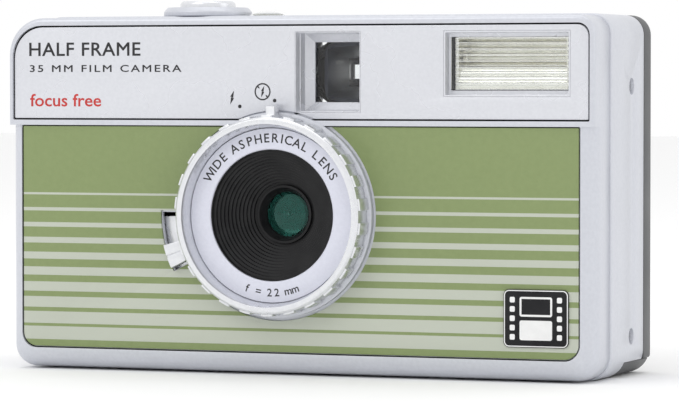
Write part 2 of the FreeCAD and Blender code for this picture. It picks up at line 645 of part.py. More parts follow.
def star_filter():
    px, pz = on_lens(FILTER_PIVOT_R, 225)
    swing = FILTER_RATIO * LEVER_TRAVEL

    def limb(length, width, deg):
        a = math.radians(deg)
        along = V(math.cos(a), 0, math.sin(a))
        side = V(-math.sin(a), 0, math.cos(a)) * (width / 2)
        origin = V(px, 7.45, pz)
        tip = origin + along * length
        corners = [origin + side, tip + side, tip - side, origin - side]
        return Part.Face(Part.makePolygon(corners + corners[:1])).extrude(V(0, 0.3, 0)), tip

    arm, disc_centre = limb(FILTER_PIVOT_R, 1.6, 45 + swing)
    tail, _ = limb(5.4, 2.6, 252)
    slot, _ = limb(6.0, 1.3, 252)
    tail = less(tail, slot.cut(level(px, pz, 2.4, 7, 8)))
    disc = level(disc_centre.x, disc_centre.z, 3.2, 7.45, 7.75)
    shape = fused(arm, tail, disc, level(px, pz, 1.5, 7.45, 7.75))
    keep("star_filter", less(shape, level(px, pz, 0.68, 7, 8)))


# ---- Finder -------------------------------------------------------------------------------
def finder():
    bezel = block(FINDER, 0.0, 5.2)
    glass = (2.2, 10.6, 47.6, 58.0)
    bezel = less(bezel, block(FINDER, -1, 1.9, -0.15), block(FINDER, 1.8, 3.9, -0.3),
                 tapered(grown(FINDER, -0.3), 3.9, glass, 4.8), block(glass, 4, 6))
    keep("finder_bezel", bezel)
    lens = block(glass, 5.3, 9.4, 0.6)
    middle = V((glass[0] + glass[1]) / 2, 6.1 + 9.8, (glass[2] + glass[3]) / 2)
    keep("finder_front_lens", less(lens, Part.makeSphere(9.8, middle)))
    tunnel = less(block(glass, 9.5, 27.0, 0.8), block(glass, 9, 28, 0))
    keep("finder_tunnel", tunnel)
    keep("finder_eyepiece", block((3.0, 10.0, 50.0, 56.4), 27.1, 29.0, 0.6))


# ---- Flash --------------------------------------------------------------------------------
def flash_unit():
    lens = (28.4, 49.6, 49.7, 58.7)
    bezel = less(block(FLASH, 0.0, 3.0, 0.0), block(FLASH, -1, 2.0, -0.3), block(lens, 0, 4, 0.05))
    keep("flash_bezel", bezel)
    pane = block(lens, 1.9, 2.9)
    ribs = []
    pitch = (lens[3] - lens[2]) / 9
    for i in range(9):
        z = lens[2] + pitch * (i + 0.5)
        rib = Part.makeCylinder(pitch / 2, lens[1] - lens[0] - 1.0, V(lens[0] + 0.5, 2.6, z), X_AXIS)
        ribs.append(rib.common(box(0, 60, 2.7, 4, 40, 60)))
    keep("flash_window", fused(pane, *ribs))
    outer = [(3.5, 49.9), (4.3, 52.9), (8.6, 54.3), (9.0, 57.0), (3.5, 59.0)]
    inner = [(3.4, 50.5), (4.2, 53.4), (8.1, 54.8), (8.4, 56.7), (3.4, 58.5)]
    keep("flash_reflector", less(prism(outer, 28.8, 49.2), prism(inner, 29.3, 48.7)))
    keep("flash_tube", Part.makeCylinder(0.9, 18.4, V(29.8, 6.5, 55.4), X_AXIS))
    capacitor = upright((-23.5, 8.8), 4.0, 10, 38)
    capacitor = capacitor.makeFillet(0.5, [e for e in capacitor.Edges if abs(e.BoundBox.ZMin - 38) < 1e-3])
    keep("flash_capacitor", fused(capacitor, upright((-22.3, 8.8), 0.3, 7, 10), upright((-24.7, 8.8), 0.3, 7, 10)))
    keep("flash_board", box(-50, -28, 2.6, 3.8, 8, 42))


# ---- Battery ------------------------------------------------------------------------------
def battery():
    cell = fused(upright(BATTERY, 5.2, 3.0, 46.4), upright(BATTERY, 1.9, 46.4, 47.4))
    keep("battery", cell)
    door = box(13.1, 24.5, 10.3, 20.3, 0.2, 1.2)
    grooves = [box(15.0, 22.6, 12.0 + 0.9 * i, 12.4 + 0.9 * i, 0, 0.45) for i in range(6)]
    keep("battery_door", less(door, *grooves))


os.makedirs("parts", exist_ok=True)
for build in (front_cover, upper_plate, front_panel, badge, mid_frame, base_plate, case_screws,
              strap_lug, tripod_nut, back_door, eyepiece_bezel, hinge_pin, door_latch, door_light_seal,
              pressure_plate, pressure_plate_spring, film_gate, light_tunnel):
    build()
film_chamber("cassette_chamber", CASSETTE, 13.1, 3.2, 52.6, 0, 2.5)
film_chamber("take_up_chamber", SPOOL, 10.6, 3.0, 48.0, 2.0, 1.4)
for build in (take_up_spool, advance_wheel, gears, mechanism_plate, sprocket_shaft, rewind_release_button,
              rewind_spindle, crank_arm, crank_knob, button_collar, shutter_button, button_spring, counter,
              release_lever, flash_ring, name_ring, lens_barrel, lens_elements, lens_retainer,
              aperture_plate, shutter_housing, shutter_blade, star_filter_lever, star_filter, finder,
              flash_unit, battery):
    build()
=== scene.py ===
# %% [markdown]
# A half frame camera, finished round a fixed mechanical model.
#
# The shells, lenses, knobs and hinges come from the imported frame. Their places never change here.
# This lesson adds what a mould, a paint line and a printer add to the real camera: softened edges,
# grain, print, glass coatings and light. Everything is in metres, in the frame's own axes:
# X to the right as you face the lens, Y from the lens towards the back door, Z up.

# %% Load the frame and note its box
import bpy
import json
import math
from mathutils import Matrix, Vector


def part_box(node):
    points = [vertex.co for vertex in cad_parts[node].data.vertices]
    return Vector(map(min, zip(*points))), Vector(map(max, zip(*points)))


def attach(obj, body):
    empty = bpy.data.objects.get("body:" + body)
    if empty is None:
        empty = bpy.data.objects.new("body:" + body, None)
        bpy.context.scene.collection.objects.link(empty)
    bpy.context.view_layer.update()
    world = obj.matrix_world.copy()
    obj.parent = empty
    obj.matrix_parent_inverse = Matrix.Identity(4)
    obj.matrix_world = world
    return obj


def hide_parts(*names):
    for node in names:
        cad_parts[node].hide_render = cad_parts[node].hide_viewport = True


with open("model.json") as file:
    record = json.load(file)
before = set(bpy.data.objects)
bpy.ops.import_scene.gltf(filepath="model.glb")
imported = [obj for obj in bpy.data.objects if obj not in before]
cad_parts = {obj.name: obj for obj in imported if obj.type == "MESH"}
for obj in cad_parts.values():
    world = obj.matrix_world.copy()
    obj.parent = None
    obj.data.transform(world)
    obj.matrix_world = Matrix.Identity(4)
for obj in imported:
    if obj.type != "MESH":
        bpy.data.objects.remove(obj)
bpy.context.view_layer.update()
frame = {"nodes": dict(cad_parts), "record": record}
for imported in list(bpy.data.materials):
    imported.name = "imported_" + imported.name
MM = 0.001

# %% [markdown]
# Positions are read from the frame's nodes, so the looks follow the design if a size changes.
# The optical axis is the middle of the front lens. The two front plates give the sheets that carry
# the print.

# %% Landmarks taken from the frame
lens_low, lens_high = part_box("front_lens")
LENS = (lens_low + lens_high) / 2
PANEL_LOW, PANEL_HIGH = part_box("front_panel")
PLATE_LOW, PLATE_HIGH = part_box("upper_plate")
BODY_OF = {node: body for body, nodes in frame["record"]["behaviour"]["bodies"].items() for node in nodes}
SLOT_OF = {entry["node"]: entry["material_slot"] for entry in frame["record"]["subparts"]}
print("optical axis at x %.4f z %.4f" % (LENS.x, LENS.z))

# %% [markdown]
# Two habits keep bpy.ops safe. Nothing may stay selected from an earlier step, because an operator
# acts on all that is selected. And each finished piece has its transforms applied, so its place is
# in its mesh and its origin is the frame's origin.

# %% Selection and finishing helpers
def only(piece):
    bpy.ops.object.select_all(action="DESELECT")
    piece.select_set(True)
    bpy.context.view_layer.objects.active = piece
    return piece


def settle(piece):
    only(piece)
    bpy.ops.object.transform_apply(location=True, rotation=True, scale=True)
    return piece


def add_modifier(piece, kind, **settings):
    modifier = piece.modifiers.new(kind.title(), kind)
    for name, value in settings.items():
        setattr(modifier, name, value)
    return modifier


def bake_modifiers(piece):
    only(piece)
    for modifier in list(piece.modifiers):
        bpy.ops.object.modifier_apply(modifier=modifier.name)
    return piece


# %% [markdown]
# A material is a small network of nodes. Real plastic and paint are never one flat colour: they
# have a fine grain, and their gloss wanders a little where hands have touched them. One builder
# makes that base network: a Principled shader, a grain that drives a bump, and a slow noise that
# moves the roughness a little. Each finish below then sets its own colour, gloss and grain size.
# All patterns read Object coordinates, which are metres here.

# %% A builder for moulded, painted and plated finishes
def link(tree, out_node, out_name, in_node, in_name):
    tree.links.new(out_node.outputs[out_name], in_node.inputs[in_name])


def new_finish(name, colour, metallic=0.0, roughness=0.4):
    finish = bpy.data.materials.new(name)
    finish.use_nodes = True
    shader = finish.node_tree.nodes["Principled BSDF"]
    shader.inputs["Base Color"].default_value = (*colour, 1)
    shader.inputs["Metallic"].default_value = metallic
    shader.inputs["Roughness"].default_value = roughness
    return finish, finish.node_tree, shader


def add_grain(tree, shader, size, height, detail=2.0, strength=0.5):
    """Fine surface grain: size and height are in metres."""
    place = tree.nodes.new("ShaderNodeTexCoord")
    grain = tree.nodes.new("ShaderNodeTexNoise")
    grain.inputs["Scale"].default_value = 1.0 / size
    grain.inputs["Detail"].default_value = detail
    bump = tree.nodes.new("ShaderNodeBump")
    bump.inputs["Distance"].default_value = height
    bump.inputs["Strength"].default_value = strength
    link(tree, place, "Object", grain, "Vector")
    link(tree, grain, "Fac", bump, "Height")
    link(tree, bump, "Normal", shader, "Normal")
    return place, bump


def vary_gloss(tree, shader, place, low, high, size=0.012):
    """Roughness that drifts between low and high over the surface."""
    drift = tree.nodes.new("ShaderNodeTexNoise")
    drift.inputs["Scale"].default_value = 1.0 / size
    drift.inputs["Detail"].default_value = 3.0
    spread = tree.nodes.new("ShaderNodeMapRange")
    spread.inputs["From Min"].default_value = 0.3
    spread.inputs["From Max"].default_value = 0.7
    spread.inputs["To Min"].default_value = low
    spread.inputs["To Max"].default_value = high
    link(tree, place, "Object", drift, "Vector")
    link(tree, drift, "Fac", spread, "Value")
    link(tree, spread, "Result", shader, "Roughness")


def vary_colour(tree, shader, place, dark, light, size):
    """Base colour that drifts between two close tones."""
    drift = tree.nodes.new("ShaderNodeTexNoise")
    drift.inputs["Scale"].default_value = 1.0 / size
    drift.inputs["Detail"].default_value = 4.0
    ramp = tree.nodes.new("ShaderNodeValToRGB")
    ramp.color_ramp.elements[0].position = 0.35
    ramp.color_ramp.elements[0].color = (*dark, 1)
    ramp.color_ramp.elements[1].position = 0.65
    ramp.color_ramp.elements[1].color = (*light, 1)
    link(tree, place, "Object", drift, "Vector")
    link(tree, drift, "Fac", ramp, "Fac")
    link(tree, ramp, "Color", shader, "Base Color")


# %% [markdown]
# The body shell is moulded plastic under a silver metallic paint. Such paint is a pale lavender
# grey with tiny flakes: part metal, part pigment, with a soft sheen. The sheet let into the upper
# front is a touch brighter and smoother. Both get a very fine grain.

# %% Silver paint, silver sheet and plated metal
def painted_silver(name, dark, light, low, high, metallic):
    finish, tree, shader = new_finish(name, light, metallic, (low + high) / 2)
    place, _ = add_grain(tree, shader, 0.00025, 0.000012, 3.0, 0.35)
    vary_gloss(tree, shader, place, low, high)
    vary_colour(tree, shader, place, dark, light, 0.0006)
    return finish


FINISH = {}
SILVERS = {
    "silver_shell": ((0.59, 0.605, 0.655), (0.62, 0.635, 0.685), 0.30, 0.40, 0.35),
    "upper_silver": ((0.66, 0.67, 0.71), (0.69, 0.70, 0.74), 0.24, 0.32, 0.35),
    "name_silver": ((0.67, 0.68, 0.77), (0.70, 0.71, 0.80), 0.38, 0.46, 0.20),
    "ring_metal": ((0.74, 0.75, 0.78), (0.78, 0.79, 0.81), 0.24, 0.32, 0.80),
    "steel": ((0.52, 0.52, 0.54), (0.60, 0.60, 0.61), 0.22, 0.34, 1.0),
    "brass": ((0.62, 0.46, 0.20), (0.70, 0.54, 0.26), 0.22, 0.34, 1.0),
}
for name, settings in SILVERS.items():
    FINISH[name] = painted_silver(name, *settings)
print("metal and paint finishes:", len(FINISH))

# %% [markdown]
# The dark pieces are bare moulded plastic. The back door and base have a spark-eroded grain that
# reads as satin charcoal. The black pieces near the film are matt, to keep stray light down.

# %% Dark mouldings and small inner materials
def moulded(name, dark, light, low, high, grain, height, metallic=0.0):
    finish, tree, shader = new_finish(name, light, metallic, (low + high) / 2)
    place, _ = add_grain(tree, shader, grain, height, 3.0, 0.6)
    vary_gloss(tree, shader, place, low, high)
    vary_colour(tree, shader, place, dark, light, 0.004)
    return finish


MOULDINGS = {
    "door_grey": ((0.087, 0.089, 0.092), (0.094, 0.096, 0.099),
                  0.42, 0.55, 0.0004, 0.00005),
    "black_plastic": ((0.010, 0.010, 0.011), (0.018, 0.018, 0.019),
                      0.34, 0.46, 0.0004, 0.00002),
    # finder_grey is lighter than the finder's black plastic: painted light, standing in for the light seen through
    # the finder.
    "finder_grey": ((0.150, 0.158, 0.205), (0.180, 0.190, 0.245),
                    0.40, 0.50, 0.0006, 0.00001),
    "badge_black": ((0.010, 0.010, 0.012), (0.016, 0.016, 0.018),
                    0.16, 0.24, 0.0006, 0.000004),
    "gear_white": ((0.72, 0.71, 0.66), (0.80, 0.79, 0.74),
                   0.40, 0.55, 0.0006, 0.00002),
    "board_green": ((0.02, 0.12, 0.05), (0.04, 0.19, 0.07),
                    0.22, 0.35, 0.0010, 0.00003),
    "sleeve_black": ((0.015, 0.015, 0.025), (0.03, 0.03, 0.045),
                     0.20, 0.32, 0.0020, 0.00004),
    "cell_grey": ((0.20, 0.21, 0.23), (0.28, 0.29, 0.31),
                  0.18, 0.28, 0.0020, 0.00002),
    "foam": ((0.006, 0.006, 0.006), (0.03, 0.03, 0.03),
             0.85, 0.95, 0.0003, 0.00015),
    "reflector": ((0.80, 0.78, 0.70), (0.92, 0.90, 0.83),
                  0.16, 0.28, 0.0030, 0.00006, 0.85),
    "print_black": ((0.008, 0.008, 0.010), (0.014, 0.014, 0.016),
                    0.30, 0.42, 0.0003, 0.00001),
    "print_white": ((0.80, 0.80, 0.80), (0.88, 0.88, 0.88),
                    0.30, 0.42, 0.0003, 0.00001),
    "print_red": ((0.46, 0.022, 0.018), (0.55, 0.034, 0.026),
                  0.30, 0.42, 0.0003, 0.00001),
    # Black for the gap bottoms: painted shade where the gaps lie in shadow, and the door's black light seal.
    "seam_black": ((0.004, 0.004, 0.004), (0.008, 0.008, 0.008),
                   0.55, 0.70, 0.0004, 0.00002),
}
for name, settings in MOULDINGS.items():
    FINISH[name] = moulded(name, *settings)
for dark_name in ("black_plastic", "badge_black", "seam_black"):
    FINISH[dark_name].node_tree.nodes["Principled BSDF"].inputs["Specular IOR Level"].default_value = 0.22
print("finishes so far:", len(FINISH))

# %% [markdown]
# Clear plastic and glass are one shader with full transmission. Camera glass is coated, so what it
# reflects is tinted green-blue. The coating is a tint on the glass itself, and the roughness stays
# near zero. Constants stay on the shader's own sockets.

# %% Glass and clear plastic
def clear(name, colour, roughness, ior):
    finish, _, shader = new_finish(name, colour, 0.0, roughness)
    shader.inputs["Transmission Weight"].default_value = 1.0
    shader.inputs["IOR"].default_value = ior
    return finish, shader


FINISH["clear_plastic"] = clear("clear_plastic", (0.96, 0.98, 0.98), 0.01, 1.49)[0]
FINISH["tube_glass"] = clear("tube_glass", (0.97, 0.97, 0.94), 0.03, 1.47)[0]
coated, coated_shader = clear("lens_glass", (0.22, 0.52, 0.47), 0.01, 1.52)
coated_shader.inputs["Specular Tint"].default_value = (0.35, 0.95, 0.80, 1)
coated_shader.inputs["Coat Weight"].default_value = 0.20
coated_shader.inputs["Coat Roughness"].default_value = 0.02
FINISH["lens_glass"] = coated
print("clear finishes done")

# %% [markdown]
# The coloured panel is a printed skin with an embossed leather grain. Its print is a rule, not a
# picture: ten pale stripes start part of the way down, one pitch apart, and each is a little thicker
# than the one above. Math nodes turn the height into a stripe number and a place within the pitch.

# %% The striped, embossed panel skin
STRIPE_START = 11.81 * MM
STRIPE_PITCH = 2.645 * MM
STRIPE_FIRST = 0.38 * MM
STRIPE_GROWTH = 0.217 * MM
STRIPE_COUNT = 10
PANEL_GREEN = ((0.212, 0.272, 0.108), (0.240, 0.302, 0.126))
STRIPE_PALE = (0.500, 0.530, 0.450)


def math_node(tree, operation, first, second):
    """One Math node; each input is a number or another node's first output."""
    node = tree.nodes.new("ShaderNodeMath")
    node.operation = operation
    for socket, value in zip(node.inputs, (first, second)):
        if isinstance(value, (int, float)):
            socket.default_value = value
        else:
            tree.links.new(value, socket)
    return node.outputs[0]


def striped_skin():
    finish, tree, shader = new_finish("panel_green", PANEL_GREEN[1], 0.0, 0.42)
    place = tree.nodes.new("ShaderNodeTexCoord")
    axes = tree.nodes.new("ShaderNodeSeparateXYZ")
    link(tree, place, "Object", axes, "Vector")
    down = math_node(tree, "SUBTRACT", PANEL_HIGH.z - STRIPE_START, axes.outputs["Z"])
    pitches = math_node(tree, "DIVIDE", down, STRIPE_PITCH)
    row = math_node(tree, "FLOOR", pitches, 0.0)
    within = math_node(tree, "MULTIPLY", math_node(tree, "SUBTRACT", pitches, row), STRIPE_PITCH)
    width = math_node(tree, "MULTIPLY_ADD", row, STRIPE_GROWTH)
    width.node.inputs[2].default_value = STRIPE_FIRST
    inked = math_node(tree, "LESS_THAN", within, width)
    started = math_node(tree, "GREATER_THAN", row, -0.5)
    ended = math_node(tree, "LESS_THAN", row, STRIPE_COUNT - 0.5)
    mask = math_node(tree, "MULTIPLY", inked, math_node(tree, "MULTIPLY", started, ended))

    drift = tree.nodes.new("ShaderNodeTexNoise")
    drift.inputs["Scale"].default_value = 900.0
    link(tree, place, "Object", drift, "Vector")
    greens = tree.nodes.new("ShaderNodeValToRGB")
    greens.color_ramp.elements[0].color = (*PANEL_GREEN[0], 1)
    greens.color_ramp.elements[1].color = (*PANEL_GREEN[1], 1)
    link(tree, drift, "Fac", greens, "Fac")
    mix = tree.nodes.new("ShaderNodeMix")
    mix.data_type = "RGBA"
    tree.links.new(mask, mix.inputs["Factor"])
    tree.links.new(greens.outputs["Color"], mix.inputs["A"])
    mix.inputs["B"].default_value = (*STRIPE_PALE, 1)
    tree.links.new(mix.outputs["Result"], shader.inputs["Base Color"])

    pebbles = tree.nodes.new("ShaderNodeTexVoronoi")
    pebbles.feature = "SMOOTH_F1"
    pebbles.inputs["Scale"].default_value = 1.0 / 0.00045
    wrinkle = tree.nodes.new("ShaderNodeTexNoise")
    wrinkle.inputs["Scale"].default_value = 1.0 / 0.0009
    wrinkle.inputs["Detail"].default_value = 4.0
    link(tree, place, "Object", pebbles, "Vector")
    link(tree, place, "Object", wrinkle, "Vector")
    relief = math_node(tree, "ADD", pebbles.outputs["Distance"], wrinkle.outputs["Fac"])
    bump = tree.nodes.new("ShaderNodeBump")
    bump.inputs["Distance"].default_value = 0.00004
    bump.inputs["Strength"].default_value = 0.55
    tree.links.new(relief, bump.inputs["Height"])
    link(tree, bump, "Normal", shader, "Normal")
    vary_gloss(tree, shader, place, 0.34, 0.46)
    return finish


FINISH["panel_green"] = striped_skin()
print("stripes end %.2f mm below the panel top" % ((STRIPE_START + 9 * STRIPE_PITCH) / MM))

# %% [markdown]
# Every node gets its finish from the slot that the record gives it. A node's material slots are
# cleared first, so that nothing from the import is left behind.

# %% Dress all frame nodes
def dress(piece, finish_name):
    piece.data.materials.clear()
    piece.data.materials.append(FINISH[finish_name])
    return piece


for node, piece in frame["nodes"].items():
    dress(piece, SLOT_OF[node])
print("dressed", len(frame["nodes"]), "nodes")

# %% [markdown]
# A CAD solid has knife-sharp edges, and real mouldings never do: a tiny radius catches a line of
# light and tells the eye how big the thing is. For each visible shell a copy is merged into one
# skin, its flat triangles are dissolved, and a Bevel modifier rounds what is still sharp. The copy
# stands for its node, on the same body. A window frame is flat all the way round a hole, and
# dissolving such a face can close the hole, so those pieces only have their triangles paired.

# %% Softened copies of the visible shells
SMOOTH_DEG = 32.0
HOLED = ("finder_bezel", "flash_bezel", "rewind_spindle")


def softened(node, width_mm, segments=2, sharp_deg=SMOOTH_DEG):
    source = frame["nodes"][node]
    piece = source.copy()
    piece.data = source.data.copy()
    piece.name = node + "_finished"
    piece.parent = None
    for key in list(piece.keys()):
        del piece[key]
    bpy.context.scene.collection.objects.link(piece)
    only(piece)
    bpy.ops.object.mode_set(mode="EDIT")
    bpy.ops.mesh.select_all(action="SELECT")
    bpy.ops.mesh.remove_doubles(threshold=0.000002)
    if node in HOLED:
        bpy.ops.mesh.tris_convert_to_quads(face_threshold=math.radians(0.5), shape_threshold=math.pi)
    else:
        bpy.ops.mesh.dissolve_limited(angle_limit=math.radians(0.3))
    bpy.ops.object.mode_set(mode="OBJECT")
    add_modifier(piece, "BEVEL", width=width_mm * MM, segments=segments, limit_method="ANGLE",
                 angle_limit=math.radians(sharp_deg), use_clamp_overlap=True, miter_outer="MITER_ARC")
    bake_modifiers(piece)
    only(piece)
    bpy.ops.object.shade_smooth_by_angle(angle=math.radians(sharp_deg))
    dress(piece, SLOT_OF[node])
    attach(piece, BODY_OF[node])
    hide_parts(node)
    return piece


EDGE_MM = {
    "front_cover": 0.10, "mid_frame": 0.10, "upper_plate": 0.08, "front_panel": 0.08, "base_plate": 0.12,
    "back_door": 0.12, "finder_bezel": 0.06, "flash_bezel": 0.08, "flash_ring": 0.10, "name_ring": 0.05,
    "lens_barrel": 0.05, "lens_retainer": 0.05, "star_filter_lever": 0.10, "button_collar": 0.08,
    "shutter_button": 0.10, "strap_lug": 0.15, "eyepiece_bezel": 0.06, "door_latch": 0.05, "badge": 0.05,
    "battery_door": 0.06, "rewind_spindle": 0.06, "crank_arm": 0.08, "advance_wheel": 0.06,
    "tripod_nut": 0.08, "rewind_release_button": 0.10, "case_screws": 0.04,
}
for node, width_mm in EDGE_MM.items():
    made = softened(node, width_mm)
    print("%-24s %6d faces" % (made.name, len(made.data.polygons)))

# %% [markdown]
# The pieces that keep their CAD mesh still need smooth shading, with their true corners kept sharp.

# %% Smooth shading on the remaining nodes
for node, piece in frame["nodes"].items():
    if node not in EDGE_MM:
        only(piece)
        bpy.ops.object.shade_smooth_by_angle(angle=math.radians(SMOOTH_DEG))
print("shaded", len(frame["nodes"]) - len(EDGE_MM), "nodes")

# %% [markdown]
# Where two mouldings meet, the real camera shows a dark line: the bottom of a narrow gap in shadow.
# The gaps are in the model. Here each gets a flat black frame at its bottom: painted shade, so that
# it reads as dark from every side. One builder makes every flat frame: a plane, its four corners
# rounded by their own radii, inset, its middle taken out, and given thickness.

# %% A builder for flat frames and plates that face forward
def round_corner(piece, place, radius):
    """Bevel the one corner of a flat sheet that is nearest to place."""
    only(piece)
    nearest = min(piece.data.vertices, key=lambda vertex: (vertex.co - place).length).index
    bpy.ops.object.mode_set(mode="EDIT")
    bpy.ops.mesh.select_mode(type="VERT")
    bpy.ops.mesh.select_all(action="DESELECT")
    bpy.ops.object.mode_set(mode="OBJECT")
    piece.data.vertices[nearest].select = True
    bpy.ops.object.mode_set(mode="EDIT")
    bpy.ops.mesh.bevel(offset=radius, affect="VERTICES", segments=8)
    bpy.ops.object.mode_set(mode="OBJECT")


def flat_plate(name, low, high, corners, front, depth, finish_name, body, border=None):
    """Sheet from low to high (x, z) with corner radii from bottom left, anticlockwise, all in mm.

    Its face is at front; with a border only that much of its edge is kept."""
    bpy.ops.object.select_all(action="DESELECT")
    back_y = (front + depth) * MM
    centre = ((low[0] + high[0]) / 2 * MM, back_y, (low[1] + high[1]) / 2 * MM)
    bpy.ops.mesh.primitive_plane_add(size=1.0, location=centre, rotation=(math.pi / 2, 0, 0))
    piece = bpy.context.active_object
    piece.name = name
    piece.scale = ((high[0] - low[0]) * MM, (high[1] - low[1]) * MM, 1)
    settle(piece)
    ends = ((low[0], low[1]), (high[0], low[1]), (high[0], high[1]), (low[0], high[1]))
    for (x, z), radius in zip(ends, corners):
        round_corner(piece, Vector((x * MM, back_y, z * MM)), radius * MM)
    only(piece)
    bpy.ops.object.mode_set(mode="EDIT")
    bpy.ops.mesh.select_mode(type="FACE")
    if border:
        bpy.ops.mesh.select_all(action="SELECT")
        bpy.ops.mesh.inset(thickness=border * MM)
        bpy.ops.mesh.delete(type="FACE")
    bpy.ops.mesh.select_all(action="SELECT")
    bpy.ops.mesh.extrude_region_move(TRANSFORM_OT_translate={"value": (0, -depth * MM, 0)})
    bpy.ops.mesh.select_all(action="SELECT")
    bpy.ops.mesh.normals_make_consistent(inside=False)
    bpy.ops.object.mode_set(mode="OBJECT")
    dress(piece, finish_name)
    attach(piece, body)
    return piece


def in_mm(corner):
    """The x and z of a frame corner, in millimetres."""
    return corner.x / MM, corner.z / MM


# %% [markdown]
# Both sheets stand in a shallow recess with a narrow gap all round. A black frame, 0.14 mm thick,
# lies near the bottom of that gap and stops just short of the sheet. It is painted shade: the gap is
# in shadow, and the frame keeps it dark.

# %% Painted shade: black gap bottoms round the two front sheets
FRONT = PLATE_LOW.y / MM
GAP = 0.29
GAP_SINK = 0.33
GAP_FRAME = 0.14
plate_low, plate_high = in_mm(PLATE_LOW), in_mm(PLATE_HIGH)
panel_low, panel_high = in_mm(PANEL_LOW), in_mm(PANEL_HIGH)
# Both frames are painted shade at the bottoms of the gaps.
flat_plate("upper_plate_gap", (plate_low[0] - GAP, plate_low[1] - GAP), (plate_high[0] + GAP, plate_high[1] + GAP),
           (0.3, 0.3, 2.1, 5.6), FRONT + GAP_SINK, GAP_FRAME, "seam_black", "camera_body", GAP - 0.02)
flat_plate("front_panel_gap", (panel_low[0] - GAP, panel_low[1] - GAP), (panel_high[0] + GAP, panel_high[1] + 0.18),
           (2.8, 2.8, 0.3, 0.3), FRONT + GAP_SINK, GAP_FRAME, "seam_black", "camera_body", 0.17)
print("gap frames done")

# %% [markdown]
# The back door meets the middle frame with a gap of a third of a millimetre. A black strip sits in
# it on the three sides away from the hinge: a flat frame whose hinge side is cut off. It stands for
# the door's black light seal and is also painted shade, so that the seam reads dark.

# %% Black light seal and painted shade in the door seam
SEAM_LOW = (-54.6, 3.1)
SEAM_HIGH = (54.6, 62.4)
HINGE_CUT = -44.0
door_low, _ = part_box("back_door")
# The strip is the door's black light seal, and painted shade in the seam.
door_seal_and_shade = flat_plate("door_seam_liner", SEAM_LOW, SEAM_HIGH, (0.4, 0.4, 3.1, 6.6), door_low.y / MM - 0.33, 0.22,
                        "seam_black", "camera_body", 1.0)
only(door_seal_and_shade)
bpy.ops.object.mode_set(mode="EDIT")
bpy.ops.mesh.select_all(action="SELECT")
bpy.ops.mesh.bisect(plane_co=(HINGE_CUT * MM, 0, 0), plane_no=(1, 0, 0), clear_inner=True, use_fill=True)
bpy.ops.mesh.select_all(action="SELECT")
bpy.ops.mesh.normals_make_consistent(inside=False)
bpy.ops.object.mode_set(mode="OBJECT")
print("door seam liner done")

# %% [markdown]
# Print is real geometry here: ink a few hundredths of a millimetre thick, standing on the sheet. A
# line of type becomes a mesh, is fitted to the width and height of its place, and is turned to face
# forward. The words only say what the thing is.

# %% Printed words on the upper sheet
INK = 0.03
STROKE = 0.012


def type_mesh(words, spacing=1.0):
    """Words as a flat-backed mesh in their own XY plane, one unit high or so."""
    bpy.ops.object.select_all(action="DESELECT")
    bpy.ops.object.text_add(location=(0, 0, 0))
    text = bpy.context.active_object
    text.data.body = words
    text.data.space_character = spacing
    text.data.bevel_depth = STROKE
    text.data.extrude = 0.5
    text.data.resolution_u = 3
    bpy.ops.object.convert(target="MESH")
    return bpy.context.active_object


def printed(name, words, low, high, finish_name, spacing=1.0):
    """Words fitted into the rectangle low to high (x, z in mm) on the front sheets."""
    piece = type_mesh(words, spacing)
    piece.name = name
    xs = [vertex.co.x for vertex in piece.data.vertices]
    ys = [vertex.co.y for vertex in piece.data.vertices]
    wide = (high[0] - low[0]) * MM / (max(xs) - min(xs))
    tall = (high[1] - low[1]) * MM / (max(ys) - min(ys))
    piece.scale = (wide, tall, INK * MM)
    piece.rotation_euler = (math.pi / 2, 0, 0)
    piece.location = (low[0] * MM - min(xs) * wide, (FRONT - INK / 2 + 0.01) * MM, low[1] * MM - min(ys) * tall)
    settle(piece)
    dress(piece, finish_name)
    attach(piece, "camera_body")
    return piece


printed("print_title", "HALF FRAME", (-50.65, 55.72), (-28.97, 58.10), "print_black", 1.06)
printed("print_subtitle", "35 MM FILM CAMERA", (-50.55, 52.86), (-21.10, 54.12), "print_black", 1.28)
printed("print_red_word", "focus free", (-50.50, 46.75), (-36.60, 49.00), "print_red")
print("words printed")

# %% [markdown]
# The switch on the flash ring points at two marks: a bolt for flash on, and a crossed bolt in a
# circle for flash off. A bolt is two thin triangles that lean and overlap. Each triangle is a
# three-sided disc, scaled, turned and given thickness.

# %% Flash symbols and index dots
def ink_disc(sides, place, radius, scale=(1.0, 1.0), turn=0.0, thickness=INK):
    """A thin flat prism with its face forward; place is (x, z) and radius is in mm."""
    bpy.ops.object.select_all(action="DESELECT")
    centre = (place[0] * MM, (FRONT - thickness / 2 + 0.01) * MM, place[1] * MM)
    bpy.ops.mesh.primitive_cylinder_add(vertices=sides, radius=radius * MM, depth=thickness * MM, location=centre,
                                        rotation=(math.pi / 2, math.radians(turn), 0))
    piece = bpy.context.active_object
    piece.scale = (scale[0], scale[1], 1)
    return settle(piece)


def joined(name, pieces, finish_name, body):
    """Merge pieces into one object that rides on a body."""
    only(pieces[0])
    for piece in pieces[1:]:
        piece.select_set(True)
    bpy.ops.object.join()
    whole = bpy.context.active_object
    whole.name = name
    dress(whole, finish_name)
    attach(whole, body)
    return whole


def bolt(place, height):
    """Two overlapping slivers that make a lightning bolt of this height."""
    x, z = place
    upper = ink_disc(3, (x + 0.04 * height, z + 0.20 * height), 0.36 * height, (0.42, 1.0), 20)
    lower = ink_disc(3, (x - 0.02 * height, z - 0.18 * height), 0.36 * height, (0.42, 1.0), 200)
    return [upper, lower]


def ring_mesh(place, radius, width):
    """A flat printed circle line."""
    bpy.ops.object.select_all(action="DESELECT")
    bpy.ops.mesh.primitive_torus_add(major_radius=radius * MM, minor_radius=width / 2 * MM, major_segments=48,
                                     minor_segments=8, rotation=(math.pi / 2, 0, 0),
                                     location=(place[0] * MM, (FRONT + 0.01 - INK / 2) * MM, place[1] * MM))
    piece = bpy.context.active_object
    piece.scale = (1, 1, INK / width)
    return settle(piece)


